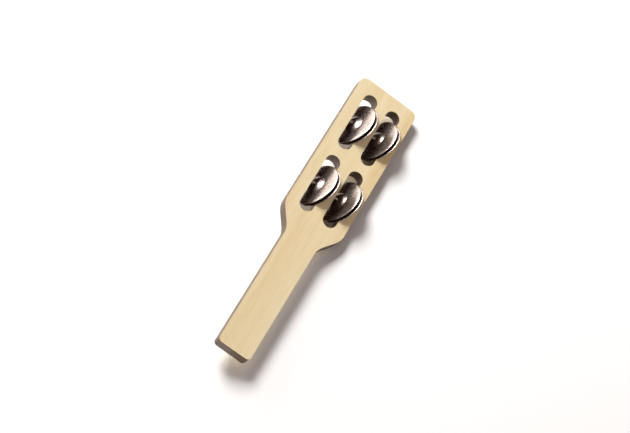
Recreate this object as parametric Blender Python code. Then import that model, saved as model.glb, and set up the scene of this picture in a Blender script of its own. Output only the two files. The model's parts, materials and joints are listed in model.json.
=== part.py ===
"""Jingle stick: a wooden paddle with four slots, each holding a pair of domed metal jingles on a nail.

Stick frame: X across, Y along from the handle end, Z up from the middle of the board's thickness.
The whole stick lies rolled on the lower right edge of its head and the rims of two jingles.
"""
import math

import bmesh
import bpy
from mathutils import Vector

# Board
STICK_LENGTH = 0.305
BOARD_THICKNESS = 0.0135
HEAD_WIDTH = 0.0635
HANDLE_WIDTH = 0.0335
SHOULDER_START = 0.122
SHOULDER_LENGTH = 0.0315
HEAD_CORNER_RADIUS = 0.007
HANDLE_CORNER_RADIUS = 0.004
EDGE_RADIUS = 0.0008

# Slots
SLOT_WIDTH = 0.0144
SLOT_LENGTH = 0.065
COLUMN_OFFSET = 0.013
ROW_PLACES = {"near": 0.1844, "far": 0.2600}

# Jingles
JINGLE_RADIUS = 0.0235
SHEET = 0.0005
DOME_RADIUS = 0.0095
DOME_HEIGHT = 0.0025
HUB_HOLE_RADIUS = 0.0022
HUB_OFFSET = 0.0010
PAIR_SPACING = 0.0028
PAIR_WEDGE = math.radians(2.5)
STOP_CLEARANCE = 0.0003

# Nails
NAIL_RADIUS = 0.0011
NAIL_HEAD_RADIUS = 0.0022
NAIL_HEAD_DEPTH = 0.0010
NAIL_GRIP = 0.0043
NAIL_CLEARANCE = 0.0003

# Roundness
CORNER_STEPS = 6
SHOULDER_STEPS = 10
SLOT_END_STEPS = 10
JINGLE_SIDES = 28
NAIL_SIDES = 12
EDGE_STEPS = 2


def clear_scene():
    for item in list(bpy.data.objects):
        bpy.data.objects.remove(item, do_unlink=True)


def make_material(name, colour, roughness, metallic):
    material = bpy.data.materials.new(name)
    material.use_nodes = True
    shader = material.node_tree.nodes["Principled BSDF"]
    shader.inputs["Base Color"].default_value = (*colour, 1.0)
    shader.inputs["Roughness"].default_value = roughness
    shader.inputs["Metallic"].default_value = metallic
    return material


def add_object(name, mesh_bm, material, parent):
    bmesh.ops.recalc_face_normals(mesh_bm, faces=mesh_bm.faces)
    mesh = bpy.data.meshes.new(name)
    mesh_bm.to_mesh(mesh)
    mesh_bm.free()
    item = bpy.data.objects.new(name, mesh)
    bpy.context.scene.collection.objects.link(item)
    item.parent = parent
    if material:
        mesh.materials.append(material)
    return item


def arc(centre, radius, start, end, steps):
    points = []
    for step in range(steps + 1):
        angle = math.radians(start + (end - start) * step / steps)
        points.append((centre[0] + radius * math.cos(angle), centre[1] + radius * math.sin(angle)))
    return points


def right_side_outline():
    """Right half of the board, from the handle end to the far end."""
    half_handle = HANDLE_WIDTH / 2
    half_head = HEAD_WIDTH / 2
    corner = HANDLE_CORNER_RADIUS
    points = arc((half_handle - corner, corner), corner, -90, 0, CORNER_STEPS)
    for step in range(SHOULDER_STEPS + 1):
        share = step / SHOULDER_STEPS
        flare = (1 - math.cos(math.pi * share)) / 2
        points.append((half_handle + (half_head - half_handle) * flare,
                       SHOULDER_START + SHOULDER_LENGTH * share))
    corner = HEAD_CORNER_RADIUS
    points += arc((half_head - corner, STICK_LENGTH - corner), corner, 0, 90, CORNER_STEPS)
    return points


def prism(outline, low, high):
    shape = bmesh.new()
    bottom = shape.faces.new([shape.verts.new((x, y, low)) for x, y in outline])
    grown = bmesh.ops.extrude_face_region(shape, geom=[bottom])
    raised = [item for item in grown["geom"] if isinstance(item, bmesh.types.BMVert)]
    bmesh.ops.translate(shape, verts=raised, vec=(0, 0, high - low))
    return shape


def turned(profile, sides):
    """Closed profile of (radius, height) points turned about Z."""
    shape = bmesh.new()
    rings = []
    for side in range(sides):
        angle = 2 * math.pi * side / sides
        rings.append([shape.verts.new((r * math.cos(angle), r * math.sin(angle), z)) for r, z in profile])
    count = len(profile)
    for side in range(sides):
        here = rings[side]
        there = rings[(side + 1) % sides]
        for k in range(count):
            nxt = (k + 1) % count
            shape.faces.new((here[k], there[k], there[nxt], here[nxt]))
    return shape


def rod_along_x(stations):
    """Solid rod along X from (x, radius) stations, the ends closed."""
    shape = bmesh.new()
    rings = []
    for x, radius in stations:
        ring = []
        for side in range(NAIL_SIDES):
            angle = 2 * math.pi * side / NAIL_SIDES
            ring.append(shape.verts.new((x, radius * math.cos(angle), radius * math.sin(angle))))
        rings.append(ring)
    for here, there in zip(rings, rings[1:]):
        for side in range(NAIL_SIDES):
            nxt = (side + 1) % NAIL_SIDES
            shape.faces.new((here[side], there[side], there[nxt], here[nxt]))
    shape.faces.new(rings[0])
    shape.faces.new(rings[-1])
    return shape


def make_cutter(name, shape, parent):
    cutter = add_object(name, shape, None, parent)
    cutter.hide_render = True
    cutter.display_type = "WIRE"
    return cutter


def cut(target, cutter):
    modifier = target.modifiers.new(cutter.name, "BOOLEAN")
    modifier.operation = "DIFFERENCE"
    modifier.solver = "EXACT"
    modifier.object = cutter


def slot_outline(centre_x, centre_y):
    radius = SLOT_WIDTH / 2
    reach = SLOT_LENGTH / 2 - radius
    return (arc((centre_x, centre_y + reach), radius, 0, 180, SLOT_END_STEPS)
            + arc((centre_x, centre_y - reach), radius, 180, 360, SLOT_END_STEPS))


def nail_stations(side, extra):
    """Nail from the side edge of the head through its slot into the rib, grown by extra for its bore."""
    outer = HEAD_WIDTH / 2 - EDGE_RADIUS
    inner = COLUMN_OFFSET - SLOT_WIDTH / 2 - NAIL_GRIP
    head = outer - NAIL_HEAD_DEPTH
    mouth = HEAD_WIDTH if extra else outer
    return [(side * mouth, NAIL_HEAD_RADIUS + extra), (side * (head - extra), NAIL_HEAD_RADIUS + extra),
            (side * (head - extra), NAIL_RADIUS + extra), (side * (inner - extra), NAIL_RADIUS + extra)]


def make_stick(material, parent):
    half = right_side_outline()
    outline = half + [(-x, y) for x, y in reversed(half)]
    stick = add_object("stick", prism(outline, -BOARD_THICKNESS / 2, BOARD_THICKNESS / 2), material, parent)
    for row, place in ROW_PLACES.items():
        for column, side in (("left", -1), ("right", 1)):
            shape = prism(slot_outline(side * COLUMN_OFFSET, place), -BOARD_THICKNESS, BOARD_THICKNESS)
            cut(stick, make_cutter(f"slot_cutter_{row}_{column}", shape, parent))
    bevel = stick.modifiers.new("edges", "BEVEL")
    bevel.width = EDGE_RADIUS
    bevel.segments = EDGE_STEPS
    bevel.limit_method = "ANGLE"
    bevel.angle_limit = math.radians(50)
    for row, place in ROW_PLACES.items():
        for column, side in (("left", -1), ("right", 1)):
            shape = rod_along_x(nail_stations(side, NAIL_CLEARANCE))
            cutter = make_cutter(f"bore_cutter_{row}_{column}", shape, parent)
            cutter.location = (0, place, 0)
            cut(stick, cutter)
    return stick


def dome_rise(radius):
    """Height of the sheet's front above the flange at a radius: a spherical cap, then flat."""
    if radius >= DOME_RADIUS:
        return 0.0
    sphere = (DOME_RADIUS ** 2 + DOME_HEIGHT ** 2) / (2 * DOME_HEIGHT)
    return math.sqrt(sphere ** 2 - radius ** 2) - (sphere - DOME_HEIGHT)


def jingle_profile():
    """Front from the hub hole to the rim, then the back. The hub's mid-thickness is at height 0."""
    steps = 4
    radii = [HUB_HOLE_RADIUS + (DOME_RADIUS - HUB_HOLE_RADIUS) * k / steps for k in range(steps + 1)]
    radii += [(DOME_RADIUS + JINGLE_RADIUS) / 2, JINGLE_RADIUS]
    hub = dome_rise(HUB_HOLE_RADIUS)
    front = [(r, dome_rise(r) - hub + SHEET / 2) for r in radii]
    return front + [(r, z - SHEET) for r, z in reversed(front)]


def rear_lean():
    """Lean from upright at which the rear jingle's back meets the slot's upper right edge."""
    across = SLOT_WIDTH / 2 + HUB_OFFSET
    upward = BOARD_THICKNESS / 2
    stack = dome_rise(HUB_HOLE_RADIUS) + SHEET / 2 + STOP_CLEARANCE
    return math.acos(stack / math.hypot(across, upward)) - math.atan2(upward, across)


def make_pair(row, column, side, place, material, parent):
    lean = rear_lean()
    for which, shift, angle in (("rear", 0.0, lean), ("front", PAIR_SPACING, lean - PAIR_WEDGE)):
        jingle = add_object(f"jingle_{row}_{column}_{which}", turned(jingle_profile(), JINGLE_SIDES),
                            material, parent)
        jingle.location = (side * COLUMN_OFFSET - HUB_OFFSET - shift, place, 0)
        jingle.rotation_euler = (0, angle - math.pi / 2, 0)
        jingle.data.shade_smooth()
        jingle.data.set_sharp_from_angle(angle=math.radians(40))


def make_nail(row, column, side, place, material, parent):
    nail = add_object(f"nail_{row}_{column}", rod_along_x(nail_stations(side, 0.0)), material, parent)
    nail.location = (0, place, 0)
    nail.data.shade_smooth()
    nail.data.set_sharp_from_angle(angle=math.radians(40))


def resting_roll():
    """Roll that lays the head's lower right edge and the right column's rear rims on one plane."""
    lean = rear_lean()
    drop = dome_rise(HUB_HOLE_RADIUS) + SHEET / 2
    rim_x = COLUMN_OFFSET - HUB_OFFSET + drop * math.cos(lean) - JINGLE_RADIUS * math.sin(lean)
    rim_z = -drop * math.sin(lean) - JINGLE_RADIUS * math.cos(lean)
    edge_x = HEAD_WIDTH / 2 - EDGE_RADIUS
    edge_z = -BOARD_THICKNESS / 2 + EDGE_RADIUS
    reach = math.hypot(edge_x - rim_x, edge_z - rim_z)
    return math.atan2(edge_z - rim_z, edge_x - rim_x) - math.asin(EDGE_RADIUS / reach)


def settle(pose):
    """Moves the pose so that the object stands on z = 0, centred on the origin."""
    bpy.context.view_layer.update()
    graph = bpy.context.evaluated_depsgraph_get()
    corners = []
    for item in pose.children:
        if item.display_type == "WIRE":
            continue
        shown = item.evaluated_get(graph)
        corners += [shown.matrix_world @ vertex.co for vertex in shown.data.vertices]
    low = Vector([min(point[k] for point in corners) for k in range(3)])
    high = Vector([max(point[k] for point in corners) for k in range(3)])
    pose.location = (-(low.x + high.x) / 2, -(low.y + high.y) / 2, -low.z)
    bpy.context.view_layer.update()


def main():
    clear_scene()
    wood = make_material("pale_wood", (0.80, 0.66, 0.40), 0.55, 0.0)
    plated = make_material("plated_steel", (0.45, 0.40, 0.37), 0.18, 1.0)
    steel = make_material("nail_steel", (0.42, 0.40, 0.38), 0.35, 1.0)
    pose = bpy.data.objects.new("lying_pose", None)
    bpy.context.scene.collection.objects.link(pose)
    pose.rotation_euler = (0, resting_roll(), 0)
    make_stick(wood, pose)
    for row, place in ROW_PLACES.items():
        for column, side in (("left", -1), ("right", 1)):
            make_nail(row, column, side, place, steel, pose)
            make_pair(row, column, side, place, plated, pose)
    settle(pose)


main()
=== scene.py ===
"""A wooden jingle stick lying on a pale floor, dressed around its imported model."""
import json
import logging
import math
from collections.abc import Callable
from dataclasses import dataclass
from enum import Enum

import bmesh
import bpy
from mathutils import Matrix, Vector


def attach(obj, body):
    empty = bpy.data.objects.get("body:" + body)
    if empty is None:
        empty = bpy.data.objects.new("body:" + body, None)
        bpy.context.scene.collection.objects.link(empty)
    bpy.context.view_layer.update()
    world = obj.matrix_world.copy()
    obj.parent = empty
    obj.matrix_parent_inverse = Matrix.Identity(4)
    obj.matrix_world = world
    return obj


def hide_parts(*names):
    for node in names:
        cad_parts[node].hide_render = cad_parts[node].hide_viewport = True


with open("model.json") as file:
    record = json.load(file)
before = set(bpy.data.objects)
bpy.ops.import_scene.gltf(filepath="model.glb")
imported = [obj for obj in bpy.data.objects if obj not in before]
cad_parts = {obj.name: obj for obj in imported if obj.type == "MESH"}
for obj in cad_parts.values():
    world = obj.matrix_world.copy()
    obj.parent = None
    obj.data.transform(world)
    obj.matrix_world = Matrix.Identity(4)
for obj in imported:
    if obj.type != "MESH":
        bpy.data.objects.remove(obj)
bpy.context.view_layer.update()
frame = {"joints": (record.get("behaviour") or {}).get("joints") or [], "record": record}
LOG = logging.getLogger("jingle_stick")

# Driving sizes of the stick, in metres
STICK_LENGTH = 0.305
BOARD_THICKNESS = 0.0135
HEAD_WIDTH = 0.0635
HANDLE_WIDTH = 0.0335
EDGE_RADIUS = 0.0008
COLUMN_OFFSET = 0.013
SLOT_WIDTH = 0.0144
HUB_OFFSET = 0.0010
HUB_HOLE_RADIUS = 0.0022
ROW_PLACES = {"near": 0.1844, "far": 0.2600}

# A face counts as a flat end when its normal's share along the axis passes this
CAP_NORMAL = 0.9

# Edges sharper than this get rounded
EDGE_ANGLE = math.radians(50)

# Name of the face attribute that lays painted shade on the board's steep side and slot walls: 1 on those
# walls, 0 on its flat faces
PAINTED_SIDE_SHADE = "side_tone"


class Column(Enum):
    """The two columns of slots, with the side of the middle line that each is on."""

    LEFT = -1
    RIGHT = 1

    @property
    def word(self) -> str:
        """The column's name as the nodes spell it."""
        return self.name.lower()


class Layer(Enum):
    """The two jingles of a pair."""

    REAR = "rear"
    FRONT = "front"


def lying_pose() -> Matrix:
    """Works out how the stick lies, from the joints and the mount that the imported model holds.

    Returns:
        The matrix from the stick's own frame (X across, Y along from the handle end, Z up from the
        middle of its thickness) to the world.
    """
    mount = frame["record"]["mounts"][0]
    up = Vector(mount["axis"]).normalized()
    turn = Matrix.Rotation(math.atan2(up.x, up.z), 4, "Y")
    hinges = {joint["name"]: Vector(joint["pos_m"]) for joint in frame["joints"]}
    left = hinges["near_left_rear_rock"]
    right = hinges["near_right_rear_rock"]
    across = turn.to_3x3() @ Vector((1, 0, 0))
    middle = (left + right) / 2 + across * HUB_OFFSET
    middle.y -= ROW_PLACES["near"]
    return Matrix.Translation(middle) @ turn


# Mesh helpers


def start_edit() -> bpy.types.Object:
    """Opens edit mode on the active object with everything selected and returns that object."""
    bpy.ops.object.mode_set(mode="EDIT")
    bpy.ops.mesh.select_all(action="SELECT")
    return bpy.context.active_object


def pick(kind: str, test: Callable[[Vector, Vector], bool]) -> None:
    """Selects only the vertices or faces that pass a test, in edit mode.

    Args:
        kind: VERT or FACE.
        test: Takes a place and a normal in the object's own frame.
    """
    bpy.ops.mesh.select_mode(type=kind)
    bpy.ops.mesh.select_all(action="DESELECT")
    mesh = bpy.context.active_object.data
    shape = bmesh.from_edit_mesh(mesh)
    if kind == "VERT":
        for vertex in shape.verts:
            vertex.select_set(test(vertex.co, vertex.normal))
    else:
        for face in shape.faces:
            face.select_set(test(face.calc_center_median(), face.normal))
    shape.select_flush_mode()
    bmesh.update_edit_mesh(mesh)


def end_edit(name: str) -> bpy.types.Object:
    """Leaves edit mode and names the active object.

    Args:
        name: The piece's name.

    Returns:
        The finished object.
    """
    bpy.ops.object.mode_set(mode="OBJECT")
    piece = bpy.context.active_object
    piece.name = name
    piece.data.name = name
    return piece


def only(piece: bpy.types.Object) -> None:
    """Selects one object and makes it active."""
    bpy.ops.object.select_all(action="DESELECT")
    piece.select_set(True)
    bpy.context.view_layer.objects.active = piece


def apply_all(piece: bpy.types.Object) -> None:
    """Applies every modifier of a piece in order."""
    only(piece)
    for name in [modifier.name for modifier in piece.modifiers]:
        bpy.ops.object.modifier_apply(modifier=name)


def cut_with(piece: bpy.types.Object, cutter: bpy.types.Object) -> None:
    """Cuts one shape out of a piece and removes the cutter.

    Args:
        piece: What is cut.
        cutter: The closed shape that is taken out.
    """
    boolean = piece.modifiers.new("cut", "BOOLEAN")
    boolean.operation = "DIFFERENCE"
    boolean.solver = "EXACT"
    boolean.object = cutter
    apply_all(piece)
    bpy.data.objects.remove(cutter, do_unlink=True)


def set_in_place(piece: bpy.types.Object, place: Matrix) -> None:
    """Moves a piece's mesh to its place, so that its object stays at the origin.

    Args:
        piece: The piece, modelled in the frame that place starts from.
        place: The matrix to the world.
    """
    piece.data.transform(place @ piece.matrix_world)
    piece.matrix_world = Matrix.Identity(4)
    piece.data.update()


# Finishes


def socket_group(name: str, inputs: dict[str, float], outputs: dict[str, str]) -> bpy.types.ShaderNodeTree:
    """Makes an empty shader group with its sockets.

    Args:
        name: The group's name.
        inputs: Each value input with its default.
        outputs: Each output with its socket type.

    Returns:
        The group, with its input and output nodes named "in" and "out".
    """
    group = bpy.data.node_groups.new(name, "ShaderNodeTree")
    for label, value in inputs.items():
        socket = group.interface.new_socket(label, in_out="INPUT", socket_type="NodeSocketFloat")
        socket.default_value = value
    for label, kind in outputs.items():
        group.interface.new_socket(label, in_out="OUTPUT", socket_type=kind)
    group.nodes.new("NodeGroupInput").name = "in"
    group.nodes.new("NodeGroupOutput").name = "out"
    return group


def stretched_noise(tree: bpy.types.NodeTree, scale: tuple[float, float, float], detail: float,
                    rough: float) -> bpy.types.NodeSocket:
    """Adds a noise on Object coordinates.

    Args:
        tree: The node tree.
        scale: Turns of the noise per metre along each axis.
        detail: Octaves.
        rough: Weight of the finer octaves.

    Returns:
        The noise's value socket.
    """
    place = tree.nodes.new("ShaderNodeTexCoord")
    mapping = tree.nodes.new("ShaderNodeMapping")
    mapping.inputs["Scale"].default_value = scale
    noise = tree.nodes.new("ShaderNodeTexNoise")
    noise.inputs["Scale"].default_value = 1.0
    noise.inputs["Detail"].default_value = detail
    noise.inputs["Roughness"].default_value = rough
    tree.links.new(place.outputs["Object"], mapping.inputs["Vector"])
    tree.links.new(mapping.outputs["Vector"], noise.inputs["Vector"])
    return noise.outputs["Fac"]


def ramp(tree: bpy.types.NodeTree, source: bpy.types.NodeSocket,
         stops: list[tuple[float, tuple[float, float, float]]]) -> bpy.types.NodeSocket:
    """Adds a colour ramp.

    Args:
        tree: The node tree.
        source: The value that drives it.
        stops: Each place with its colour.

    Returns:
        The ramp's colour socket.
    """
    node = tree.nodes.new("ShaderNodeValToRGB")
    node.color_ramp.elements[0].position = stops[0][0]
    node.color_ramp.elements[0].color = (*stops[0][1], 1)
    node.color_ramp.elements[1].position = stops[-1][0]
    node.color_ramp.elements[1].color = (*stops[-1][1], 1)
    for place, colour in stops[1:-1]:
        element = node.color_ramp.elements.new(place)
        element.color = (*colour, 1)
    tree.links.new(source, node.inputs["Fac"])
    return node.outputs["Color"]


def grain_group() -> bpy.types.ShaderNodeTree:
    """Builds the wood grain: fine pores and broad bands that run along the stick.

    Returns:
        The group, with the outputs Pores and Bands.
    """
    group = socket_group("wood_grain", {"Pore Depth": 1.0},
                         {"Pores": "NodeSocketFloat", "Bands": "NodeSocketFloat"})
    pores = stretched_noise(group, (1700, 45, 1700), 4.0, 0.6)
    bands = stretched_noise(group, (75, 4.5, 75), 3.0, 0.5)
    depth = group.nodes.new("ShaderNodeMath")
    depth.operation = "MULTIPLY"
    group.links.new(pores, depth.inputs[0])
    group.links.new(group.nodes["in"].outputs["Pore Depth"], depth.inputs[1])
    group.links.new(depth.outputs[0], group.nodes["out"].inputs["Pores"])
    group.links.new(bands, group.nodes["out"].inputs["Bands"])
    return group


def dust_group() -> bpy.types.ShaderNodeTree:
    """Builds the faint handling marks that the metal pieces share.

    Returns:
        The group, with the outputs Marks and Wave.
    """
    group = socket_group("metal_handling", {"Amount": 1.0},
                         {"Marks": "NodeSocketFloat", "Wave": "NodeSocketFloat"})
    marks = stretched_noise(group, (520, 520, 520), 5.0, 0.62)
    wave = stretched_noise(group, (95, 95, 95), 2.0, 0.5)
    amount = group.nodes.new("ShaderNodeMath")
    amount.operation = "MULTIPLY"
    group.links.new(marks, amount.inputs[0])
    group.links.new(group.nodes["in"].outputs["Amount"], amount.inputs[1])
    group.links.new(amount.outputs[0], group.nodes["out"].inputs["Marks"])
    group.links.new(wave, group.nodes["out"].inputs["Wave"])
    return group


def add_bump(tree: bpy.types.NodeTree, height: bpy.types.NodeSocket, strength: float,
             distance: float) -> bpy.types.NodeSocket:
    """Adds a bump fed by a height and returns its normal socket."""
    bump = tree.nodes.new("ShaderNodeBump")
    bump.inputs["Strength"].default_value = strength
    bump.inputs["Distance"].default_value = distance
    tree.links.new(height, bump.inputs["Height"])
    return bump.outputs["Normal"]


def spread(tree: bpy.types.NodeTree, source: bpy.types.NodeSocket, low: float,
           high: float) -> bpy.types.NodeSocket:
    """Maps a 0.3 to 0.7 noise onto a range and returns the result socket."""
    node = tree.nodes.new("ShaderNodeMapRange")
    node.inputs["From Min"].default_value = 0.3
    node.inputs["From Max"].default_value = 0.7
    node.inputs["To Min"].default_value = low
    node.inputs["To Max"].default_value = high
    tree.links.new(source, node.inputs["Value"])
    return node.outputs["Result"]


@dataclass(frozen=True)
class WoodFinish:
    """Pale sanded hardwood under a thin satin coat, with painted shade on its side and slot walls."""

    light: tuple[float, float, float] = (0.93, 0.80, 0.52)
    middle: tuple[float, float, float] = (0.90, 0.74, 0.44)
    warm: tuple[float, float, float] = (0.83, 0.62, 0.32)
    # Painted shade: the dark brown laid on the side and slot walls, which get less light than the flat
    # faces
    side: tuple[float, float, float] = (0.155, 0.09, 0.052)
    roughness: tuple[float, float] = (0.42, 0.58)

    def build(self, grain: bpy.types.ShaderNodeTree) -> bpy.types.Material:
        """Builds the material.

        Args:
            grain: The shared wood grain.

        Returns:
            The material.
        """
        material = bpy.data.materials.new("pale_wood")
        material.use_nodes = True
        tree = material.node_tree
        shader = tree.nodes["Principled BSDF"]
        shader.inputs["Coat Weight"].default_value = 0.12
        shader.inputs["Coat Roughness"].default_value = 0.35
        pattern = tree.nodes.new("ShaderNodeGroup")
        pattern.node_tree = grain
        pattern.inputs["Pore Depth"].default_value = 1.0
        bands = ramp(tree, pattern.outputs["Bands"],
                     [(0.32, self.light), (0.52, self.middle), (0.72, self.warm)])
        pores = ramp(tree, pattern.outputs["Pores"], [(0.30, (0.88, 0.84, 0.78)), (0.50, (1, 1, 1))])
        mix = tree.nodes.new("ShaderNodeMix")
        mix.data_type = "RGBA"
        mix.blend_type = "MULTIPLY"
        mix.inputs["Factor"].default_value = 0.8
        tree.links.new(bands, mix.inputs["A"])
        tree.links.new(pores, mix.inputs["B"])
        # Painted shade: the side-wall attribute mixes the dark side colour over the grain on the steep
        # faces
        painted_shade_mix = tree.nodes.new("ShaderNodeMix")
        painted_shade_mix.data_type = "RGBA"
        painted_shade_mix.inputs["B"].default_value = (*self.side, 1)
        side_tone = tree.nodes.new("ShaderNodeAttribute")
        side_tone.attribute_name = PAINTED_SIDE_SHADE
        tree.links.new(side_tone.outputs["Fac"], painted_shade_mix.inputs["Factor"])
        tree.links.new(mix.outputs["Result"], painted_shade_mix.inputs["A"])
        tree.links.new(painted_shade_mix.outputs["Result"], shader.inputs["Base Color"])
        tree.links.new(spread(tree, pattern.outputs["Pores"], *self.roughness), shader.inputs["Roughness"])
        tree.links.new(add_bump(tree, pattern.outputs["Pores"], 0.25, 0.0001), shader.inputs["Normal"])
        return material


@dataclass(frozen=True)
class MetalFinish:
    """Plated or bright steel with faint handling marks."""

    name: str
    clean: tuple[float, float, float]
    marked: tuple[float, float, float]
    roughness: tuple[float, float]
    wave_height: float

    def build(self, dust: bpy.types.ShaderNodeTree) -> bpy.types.Material:
        """Builds the material.

        Args:
            dust: The shared handling marks.

        Returns:
            The material.
        """
        material = bpy.data.materials.new(self.name)
        material.use_nodes = True
        tree = material.node_tree
        shader = tree.nodes["Principled BSDF"]
        shader.inputs["Metallic"].default_value = 1.0
        pattern = tree.nodes.new("ShaderNodeGroup")
        pattern.node_tree = dust
        colour = ramp(tree, pattern.outputs["Marks"], [(0.35, self.marked), (0.55, self.clean)])
        tree.links.new(colour, shader.inputs["Base Color"])
        tree.links.new(spread(tree, pattern.outputs["Marks"], *self.roughness), shader.inputs["Roughness"])
        tree.links.new(add_bump(tree, pattern.outputs["Wave"], 1.0, self.wave_height),
                       shader.inputs["Normal"])
        return material


# Sub-assemblies


@dataclass
class Board:
    """The wooden stick: handle, shoulders and head in one board with four slots and four nail bores."""

    shoulder_start: float = 0.122
    shoulder_length: float = 0.0315
    head_corner: float = 0.007
    handle_corner: float = 0.004
    slot_length: float = 0.065
    corner_steps: int = 10
    shoulder_steps: int = 28
    slot_sides: int = 64
    edge_steps: int = 4
    bore_sides: int = 32
    bore_clearance: float = 0.0001
    smooth_angle: float = math.radians(28)
    # How steep a face must be before painted shade starts on it, and where that shade is full
    tone_start: float = 0.25
    tone_full: float = 0.60

    def stations(self) -> list[tuple[float, float]]:
        """Lists (distance along, half width) where the outline changes, from the handle end."""
        half_handle = HANDLE_WIDTH / 2
        half_head = HEAD_WIDTH / 2
        found = []
        for step in range(self.corner_steps + 1):
            angle = math.pi / 2 * step / self.corner_steps
            found.append((self.handle_corner * (1 - math.cos(angle)),
                          half_handle - self.handle_corner * (1 - math.sin(angle))))
        for step in range(self.shoulder_steps + 1):
            share = step / self.shoulder_steps
            flare = (1 - math.cos(math.pi * share)) / 2
            found.append((self.shoulder_start + self.shoulder_length * share,
                          half_handle + (half_head - half_handle) * flare))
        for step in range(self.corner_steps + 1):
            angle = math.pi / 2 * step / self.corner_steps
            found.append((STICK_LENGTH - self.head_corner * (1 - math.sin(angle)),
                          half_head - self.head_corner * (1 - math.cos(angle))))
        return found

    def blank(self) -> bpy.types.Object:
        """Draws the board's outline station by station and raises it to its thickness.

        Returns:
            The solid board without slots.
        """
        stations = self.stations()
        bpy.ops.object.select_all(action="DESELECT")
        first_y, first_half = stations[0]
        bpy.ops.mesh.primitive_plane_add(size=2 * first_half, location=(0, 0, -BOARD_THICKNESS / 2))
        start_edit()
        pick("VERT", lambda place, normal: place.y < 0)
        bpy.ops.transform.translate(value=(0, first_y + first_half, 0))
        pick("VERT", lambda place, normal: place.y > first_y + first_half / 2)
        second_y, second_half = stations[1]
        bpy.ops.transform.translate(value=(0, second_y - first_half, 0))
        bpy.ops.transform.resize(value=(second_half / first_half, 1, 1), center_override=(0, second_y, 0))
        last_y, last_half = second_y, second_half
        for along, half in stations[2:]:
            bpy.ops.mesh.extrude_edges_move(TRANSFORM_OT_translate={"value": (0, along - last_y, 0)})
            bpy.ops.transform.resize(value=(half / last_half, 1, 1), center_override=(0, along, 0))
            last_y, last_half = along, half
        bpy.ops.mesh.select_all(action="SELECT")
        bpy.ops.mesh.extrude_region_move(TRANSFORM_OT_translate={"value": (0, 0, BOARD_THICKNESS)})
        bpy.ops.mesh.select_all(action="SELECT")
        bpy.ops.mesh.normals_make_consistent(inside=False)
        return end_edit("wooden_stick")

    def slot_cutter(self, column: Column, place: float) -> bpy.types.Object:
        """Makes a round-ended cutter for one slot.

        Args:
            column: The slot's column.
            place: The slot's centre along the stick.

        Returns:
            The cutter.
        """
        bpy.ops.object.select_all(action="DESELECT")
        centre = (column.value * COLUMN_OFFSET, place, 0)
        bpy.ops.mesh.primitive_cylinder_add(vertices=self.slot_sides, radius=SLOT_WIDTH / 2,
                                            depth=BOARD_THICKNESS * 3, location=centre,
                                            rotation=(0, 0, math.pi / self.slot_sides))
        cutter = bpy.context.active_object
        bpy.ops.object.transform_apply(location=True, rotation=True)
        reach = self.slot_length / 2 - SLOT_WIDTH / 2
        for vertex in cutter.data.vertices:
            vertex.co.y += reach if vertex.co.y > place else -reach
        return cutter

    def bore(self, piece: bpy.types.Object, column: Column, place: float, nail: "Nail") -> None:
        """Bores the board for one nail, with a counterbore for its head.

        Args:
            piece: The board.
            column: The nail's column.
            place: The nail's place along the stick.
            nail: The nail that goes in.
        """
        for radius, low, high in ((nail.radius, nail.inner, HEAD_WIDTH),
                                  (nail.head_radius, nail.outer - nail.head_depth, HEAD_WIDTH)):
            low -= self.bore_clearance
            bpy.ops.object.select_all(action="DESELECT")
            bpy.ops.mesh.primitive_cylinder_add(
                vertices=self.bore_sides, radius=radius + self.bore_clearance, depth=high - low,
                location=(column.value * (low + high) / 2, place, 0), rotation=(0, math.pi / 2, 0))
            cut_with(piece, bpy.context.active_object)

    def tone_sides(self, piece: bpy.types.Object) -> None:
        """Marks the steep side and slot walls with a painted-shade weight that darkens them against the
        flat faces.
        """
        shade_weight = piece.data.attributes.new(PAINTED_SIDE_SHADE, "FLOAT", "FACE")
        for face, value in zip(piece.data.polygons, shade_weight.data):
            steep = 1 - abs(face.normal.z)
            value.value = min(1.0, max(0.0, (steep - self.tone_start) / (self.tone_full - self.tone_start)))

    def build(self, pose: Matrix, finish: bpy.types.Material, nail: "Nail") -> bpy.types.Object:
        """Builds the board in its place.

        Args:
            pose: How the stick lies.
            finish: The wood.
            nail: The nail that its bores take.

        Returns:
            The finished board.
        """
        piece = self.blank()
        for place in ROW_PLACES.values():
            for column in Column:
                cut_with(piece, self.slot_cutter(column, place))
        bevel = piece.modifiers.new("edges", "BEVEL")
        bevel.width = EDGE_RADIUS
        bevel.segments = self.edge_steps
        bevel.limit_method = "ANGLE"
        bevel.angle_limit = EDGE_ANGLE
        apply_all(piece)
        for place in ROW_PLACES.values():
            for column in Column:
                self.bore(piece, column, place, nail)
        only(piece)
        bpy.ops.object.shade_smooth_by_angle(angle=self.smooth_angle)
        weighted = piece.modifiers.new("flat_faces_lead", "WEIGHTED_NORMAL")
        weighted.keep_sharp = True
        apply_all(piece)
        self.tone_sides(piece)
        set_in_place(piece, pose)
        piece.data.materials.append(finish)
        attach(piece, "stick")
        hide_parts("stick")
        return piece


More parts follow.
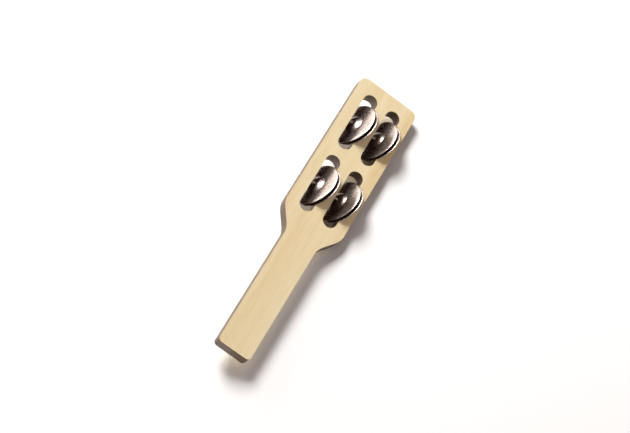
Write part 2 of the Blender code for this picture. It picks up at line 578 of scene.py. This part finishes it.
@dataclass
class Nail:
    """A nail from the head's side edge, through a pair of jingles, into the rib between the slots."""

    radius: float = 0.0011
    head_radius: float = 0.0022
    head_depth: float = 0.0010
    grip: float = 0.0043
    head_edge: float = 0.00025
    head_edge_steps: int = 3
    tip_inset: float = 0.75
    tip_rise: float = 0.2
    sides: int = 32
    smooth_angle: float = math.radians(35)

    @property
    def outer(self) -> float:
        """How far from the middle line the head's face is."""
        return HEAD_WIDTH / 2 - EDGE_RADIUS

    @property
    def inner(self) -> float:
        """How far from the middle line the tip is."""
        return COLUMN_OFFSET - SLOT_WIDTH / 2 - self.grip

    def build(self, pose: Matrix, row: str, column: Column, finish: bpy.types.Material) -> bpy.types.Object:
        """Builds one nail in its place.

        Args:
            pose: How the stick lies.
            row: The nail's row.
            column: The nail's column.
            finish: The steel.

        Returns:
            The finished nail.
        """
        bpy.ops.object.select_all(action="DESELECT")
        bpy.ops.mesh.primitive_cylinder_add(vertices=self.sides, radius=self.radius,
                                            depth=self.outer - self.head_depth - self.inner)
        piece = bpy.context.active_object
        middle = (self.outer - self.head_depth + self.inner) / 2
        start_edit()
        bpy.ops.transform.translate(value=(0, 0, middle))
        pick("FACE", lambda place, normal: normal.z > CAP_NORMAL)
        grow = self.head_radius / self.radius
        bpy.ops.mesh.extrude_region_move(TRANSFORM_OT_translate={"value": (0, 0, 0)})
        bpy.ops.transform.resize(value=(grow, grow, 1), center_override=(0, 0, 0))
        bpy.ops.mesh.extrude_region_move(TRANSFORM_OT_translate={"value": (0, 0, self.head_depth)})
        bpy.ops.mesh.bevel(offset=self.head_edge, segments=self.head_edge_steps, affect="EDGES")
        pick("FACE", lambda place, normal: normal.z < -CAP_NORMAL and place.z < middle)
        bpy.ops.mesh.inset(thickness=self.radius * self.tip_inset, depth=0)
        bpy.ops.transform.translate(value=(0, 0, -self.radius * self.tip_rise))
        piece = end_edit(f"nail_{row}_{column.word}_shaped")
        only(piece)
        bpy.ops.object.shade_smooth_by_angle(angle=self.smooth_angle)
        turn = Matrix.Rotation(column.value * math.pi / 2, 4, "Y")
        set_in_place(piece, pose @ Matrix.Translation((0, ROW_PLACES[row], 0)) @ turn)
        piece.data.materials.append(finish)
        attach(piece, "stick")
        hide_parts(f"nail_{row}_{column.word}")
        return piece


@dataclass
class Jingle:
    """A stamped round jingle: a flat flange, a domed middle and a hub hole, with a rounded rim."""

    radius: float = 0.0235
    sheet: float = 0.0005
    dome_radius: float = 0.0095
    dome_height: float = 0.0025
    fillet: float = 0.0008
    fillet_fade: float = 0.003
    rim_bow_width: float = 0.0042
    rim_bow_drop: float = 0.00035
    dome_foot: float = 0.0015
    dome_rings: int = 16
    flat_rings: int = 3
    bow_rings: int = 6
    rim_round: float = 0.35
    fillet_samples: int = 4
    sides: int = 96
    spacing: float = 0.0028
    wedge: float = math.radians(2.5)
    stop_clearance: float = 0.0003

    def rise(self, radius: float) -> float:
        """Height of the sharp stamped form above the flange at a radius."""
        if radius >= self.dome_radius:
            return 0.0
        sphere = (self.dome_radius ** 2 + self.dome_height ** 2) / (2 * self.dome_height)
        return math.sqrt(sphere ** 2 - radius ** 2) - (sphere - self.dome_height)

    def soft_rise(self, radius: float) -> float:
        """Height with the dome's foot rounded and the rim bowed back a little."""
        reach = self.fillet * min(1.0, max(0.0, (radius - HUB_HOLE_RADIUS) / self.fillet_fade))
        steps = range(-self.fillet_samples, self.fillet_samples + 1)
        stamped = sum(self.rise(radius + reach * k / self.fillet_samples) for k in steps) / len(steps)
        bow = max(0.0, (radius - self.radius + self.rim_bow_width) / self.rim_bow_width)
        return stamped - self.rim_bow_drop * bow ** 2

    def lean(self, layer: Layer) -> float:
        """Works out a jingle's lean from upright.

        Args:
            layer: Which jingle of the pair.

        Returns:
            The angle at which the rear one meets the slot's edge, less the wedge for the front one.
        """
        across = SLOT_WIDTH / 2 + HUB_OFFSET
        upward = BOARD_THICKNESS / 2
        stack = self.rise(HUB_HOLE_RADIUS) + self.sheet / 2 + self.stop_clearance
        angle = math.acos(stack / math.hypot(across, upward)) - math.atan2(upward, across)
        return angle - (self.wedge if layer is Layer.FRONT else 0.0)

    def radii(self) -> list[float]:
        """Radii of the rings from the hub hole to the rim, close together over the dome."""
        dome_end = self.dome_radius + self.dome_foot
        dome = [HUB_HOLE_RADIUS + (dome_end - HUB_HOLE_RADIUS) * k / self.dome_rings
                for k in range(self.dome_rings + 1)]
        bow_start = self.radius - self.rim_bow_width
        flat = [dome_end + (bow_start - dome_end) * k / self.flat_rings
                for k in range(1, self.flat_rings + 1)]
        return dome + flat + [bow_start + self.rim_bow_width * k / self.bow_rings
                              for k in range(1, self.bow_rings + 1)]

    def stamped(self) -> bpy.types.Object:
        """Draws the front ring by ring from the hub and gives it the sheet's thickness.

        Returns:
            The jingle with its hub at the origin and its front towards +Z.
        """
        hub = self.rise(HUB_HOLE_RADIUS)
        radii = self.radii()
        bpy.ops.object.select_all(action="DESELECT")
        bpy.ops.mesh.primitive_circle_add(vertices=self.sides, radius=radii[0], fill_type="NOTHING")
        start_edit()
        height = self.soft_rise(radii[0]) - hub + self.sheet / 2
        bpy.ops.transform.translate(value=(0, 0, height))
        for inner, outer in zip(radii, radii[1:]):
            target = self.soft_rise(outer) - hub + self.sheet / 2
            bpy.ops.mesh.extrude_edges_move(TRANSFORM_OT_translate={"value": (0, 0, target - height)})
            grow = outer / inner
            bpy.ops.transform.resize(value=(grow, grow, 1), center_override=(0, 0, target))
            height = target
        bpy.ops.mesh.select_all(action="SELECT")
        bpy.ops.mesh.normals_make_consistent(inside=False)
        piece = end_edit("jingle")
        if sum(face.normal.z for face in piece.data.polygons) < 0:
            piece.data.flip_normals()
        wall = piece.modifiers.new("sheet", "SOLIDIFY")
        wall.thickness = self.sheet
        wall.offset = -1
        edge = piece.modifiers.new("rim", "BEVEL")
        edge.width = self.sheet * self.rim_round
        edge.segments = 2
        edge.limit_method = "ANGLE"
        edge.angle_limit = EDGE_ANGLE
        apply_all(piece)
        bpy.ops.object.shade_smooth_by_angle(angle=EDGE_ANGLE)
        return piece

    def build(self, pose: Matrix, row: str, column: Column, layer: Layer,
              finish: bpy.types.Material) -> bpy.types.Object:
        """Builds one jingle on its nail.

        Args:
            pose: How the stick lies.
            row: The jingle's row.
            column: The jingle's column.
            layer: Which jingle of the pair.
            finish: The plated steel.

        Returns:
            The finished jingle.
        """
        piece = self.stamped()
        piece.name = f"jingle_{row}_{column.word}_{layer.value}_shaped"
        piece.data.name = piece.name
        shift = self.spacing if layer is Layer.FRONT else 0.0
        hub = Matrix.Translation((column.value * COLUMN_OFFSET - HUB_OFFSET - shift, ROW_PLACES[row], 0))
        turn = Matrix.Rotation(self.lean(layer) - math.pi / 2, 4, "Y")
        set_in_place(piece, pose @ hub @ turn)
        piece.data.materials.append(finish)
        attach(piece, f"{row}_{column.word}_{layer.value}")
        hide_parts(f"jingle_{row}_{column.word}_{layer.value}")
        return piece


# Studio


@dataclass(frozen=True)
class Softbox:
    """A square or oblong lamp aimed at the object."""

    name: str
    direction: tuple[float, float, float]
    distance: float
    size: tuple[float, float]
    power: float
    colour: tuple[float, float, float] = (1, 1, 1)

    def build(self) -> bpy.types.Object:
        """Places the lamp and returns it."""
        lamp = bpy.data.lights.new(self.name, "AREA")
        lamp.shape = "RECTANGLE"
        lamp.size, lamp.size_y = self.size
        lamp.energy = self.power
        lamp.color = self.colour
        holder = bpy.data.objects.new(self.name, lamp)
        bpy.context.scene.collection.objects.link(holder)
        away = Vector(self.direction).normalized()
        holder.location = away * self.distance
        holder.rotation_euler = away.to_track_quat("Z", "Y").to_euler()
        return holder


@dataclass(frozen=True)
class Studio:
    """The floor, the lamps, the dim room and the camera."""

    azimuth: float = math.radians(27.74)
    elevation: float = math.radians(58.55)
    distance: float = 1.769
    target: tuple[float, float, float] = (0.0026, 0.0012, 0.025)
    focal_px: float = 1954.0
    photo_width_px: float = 630.0
    sensor_mm: float = 36.0
    floor_size: float = 12.0
    lamps: tuple[Softbox, ...] = (
        Softbox("key", (-0.45, 0.45, 0.77), 2.2, (0.8, 1.1), 58),
        Softbox("fill", (0.55, 0.20, 0.85), 2.4, (1.6, 1.6), 6),
        Softbox("rim_strip", (-0.88, 0.46, 0.36), 3.0, (2.2, 1.0), 24),
    )

    def build_floor(self) -> None:
        """Adds the pale floor, with a matte paper surface."""
        bpy.ops.object.select_all(action="DESELECT")
        bpy.ops.mesh.primitive_plane_add(size=self.floor_size)
        floor = bpy.context.active_object
        floor.name = "floor"
        material = bpy.data.materials.new("pale_paper")
        material.use_nodes = True
        shader = material.node_tree.nodes["Principled BSDF"]
        shader.inputs["Base Color"].default_value = (0.96, 0.96, 0.96, 1)
        shader.inputs["Roughness"].default_value = 0.95
        shader.inputs["Specular IOR Level"].default_value = 0.0
        floor.data.materials.append(material)

    def build_room(self) -> None:
        """Sets the dim warm room that the metal mirrors."""
        world = bpy.data.worlds.new("room")
        bpy.context.scene.world = world
        world.use_nodes = True
        back = world.node_tree.nodes["Background"]
        back.inputs["Color"].default_value = (0.20, 0.155, 0.135, 1)
        back.inputs["Strength"].default_value = 1.0

    def build_camera(self) -> None:
        """Adds the camera at the photograph's viewing angle."""
        lens = bpy.data.cameras.new("camera")
        lens.sensor_width = self.sensor_mm
        lens.lens = self.focal_px / self.photo_width_px * self.sensor_mm
        camera = bpy.data.objects.new("camera", lens)
        bpy.context.scene.collection.objects.link(camera)
        away = Vector((math.sin(self.azimuth) * math.cos(self.elevation),
                       -math.cos(self.azimuth) * math.cos(self.elevation),
                       math.sin(self.elevation)))
        camera.location = Vector(self.target) + away * self.distance
        camera.rotation_euler = away.to_track_quat("Z", "Y").to_euler()
        bpy.context.scene.camera = camera

    def build(self) -> None:
        """Builds the whole studio."""
        bpy.context.scene.view_settings.view_transform = "Standard"
        self.build_floor()
        self.build_room()
        self.build_camera()
        for lamp in self.lamps:
            lamp.build()


def main() -> None:
    """Builds the stick piece by piece and the studio around it."""
    logging.basicConfig(level=logging.INFO)
    pose = lying_pose()
    grain = grain_group()
    dust = dust_group()
    wood = WoodFinish().build(grain)
    plated = MetalFinish("plated_steel", (0.47, 0.40, 0.365), (0.37, 0.31, 0.28), (0.24, 0.33),
                         0.00002).build(dust)
    steel = MetalFinish("nail_steel", (0.60, 0.57, 0.54), (0.48, 0.45, 0.42), (0.28, 0.42),
                        0.00002).build(dust)
    nail = Nail()
    jingle = Jingle()
    board = Board().build(pose, wood, nail)
    LOG.info("built %s", board.name)
    for row in ROW_PLACES:
        for column in Column:
            LOG.info("built %s", nail.build(pose, row, column, steel).name)
            for layer in Layer:
                LOG.info("built %s", jingle.build(pose, row, column, layer, plated).name)
    Studio().build()


if __name__ == "__main__":
    main()
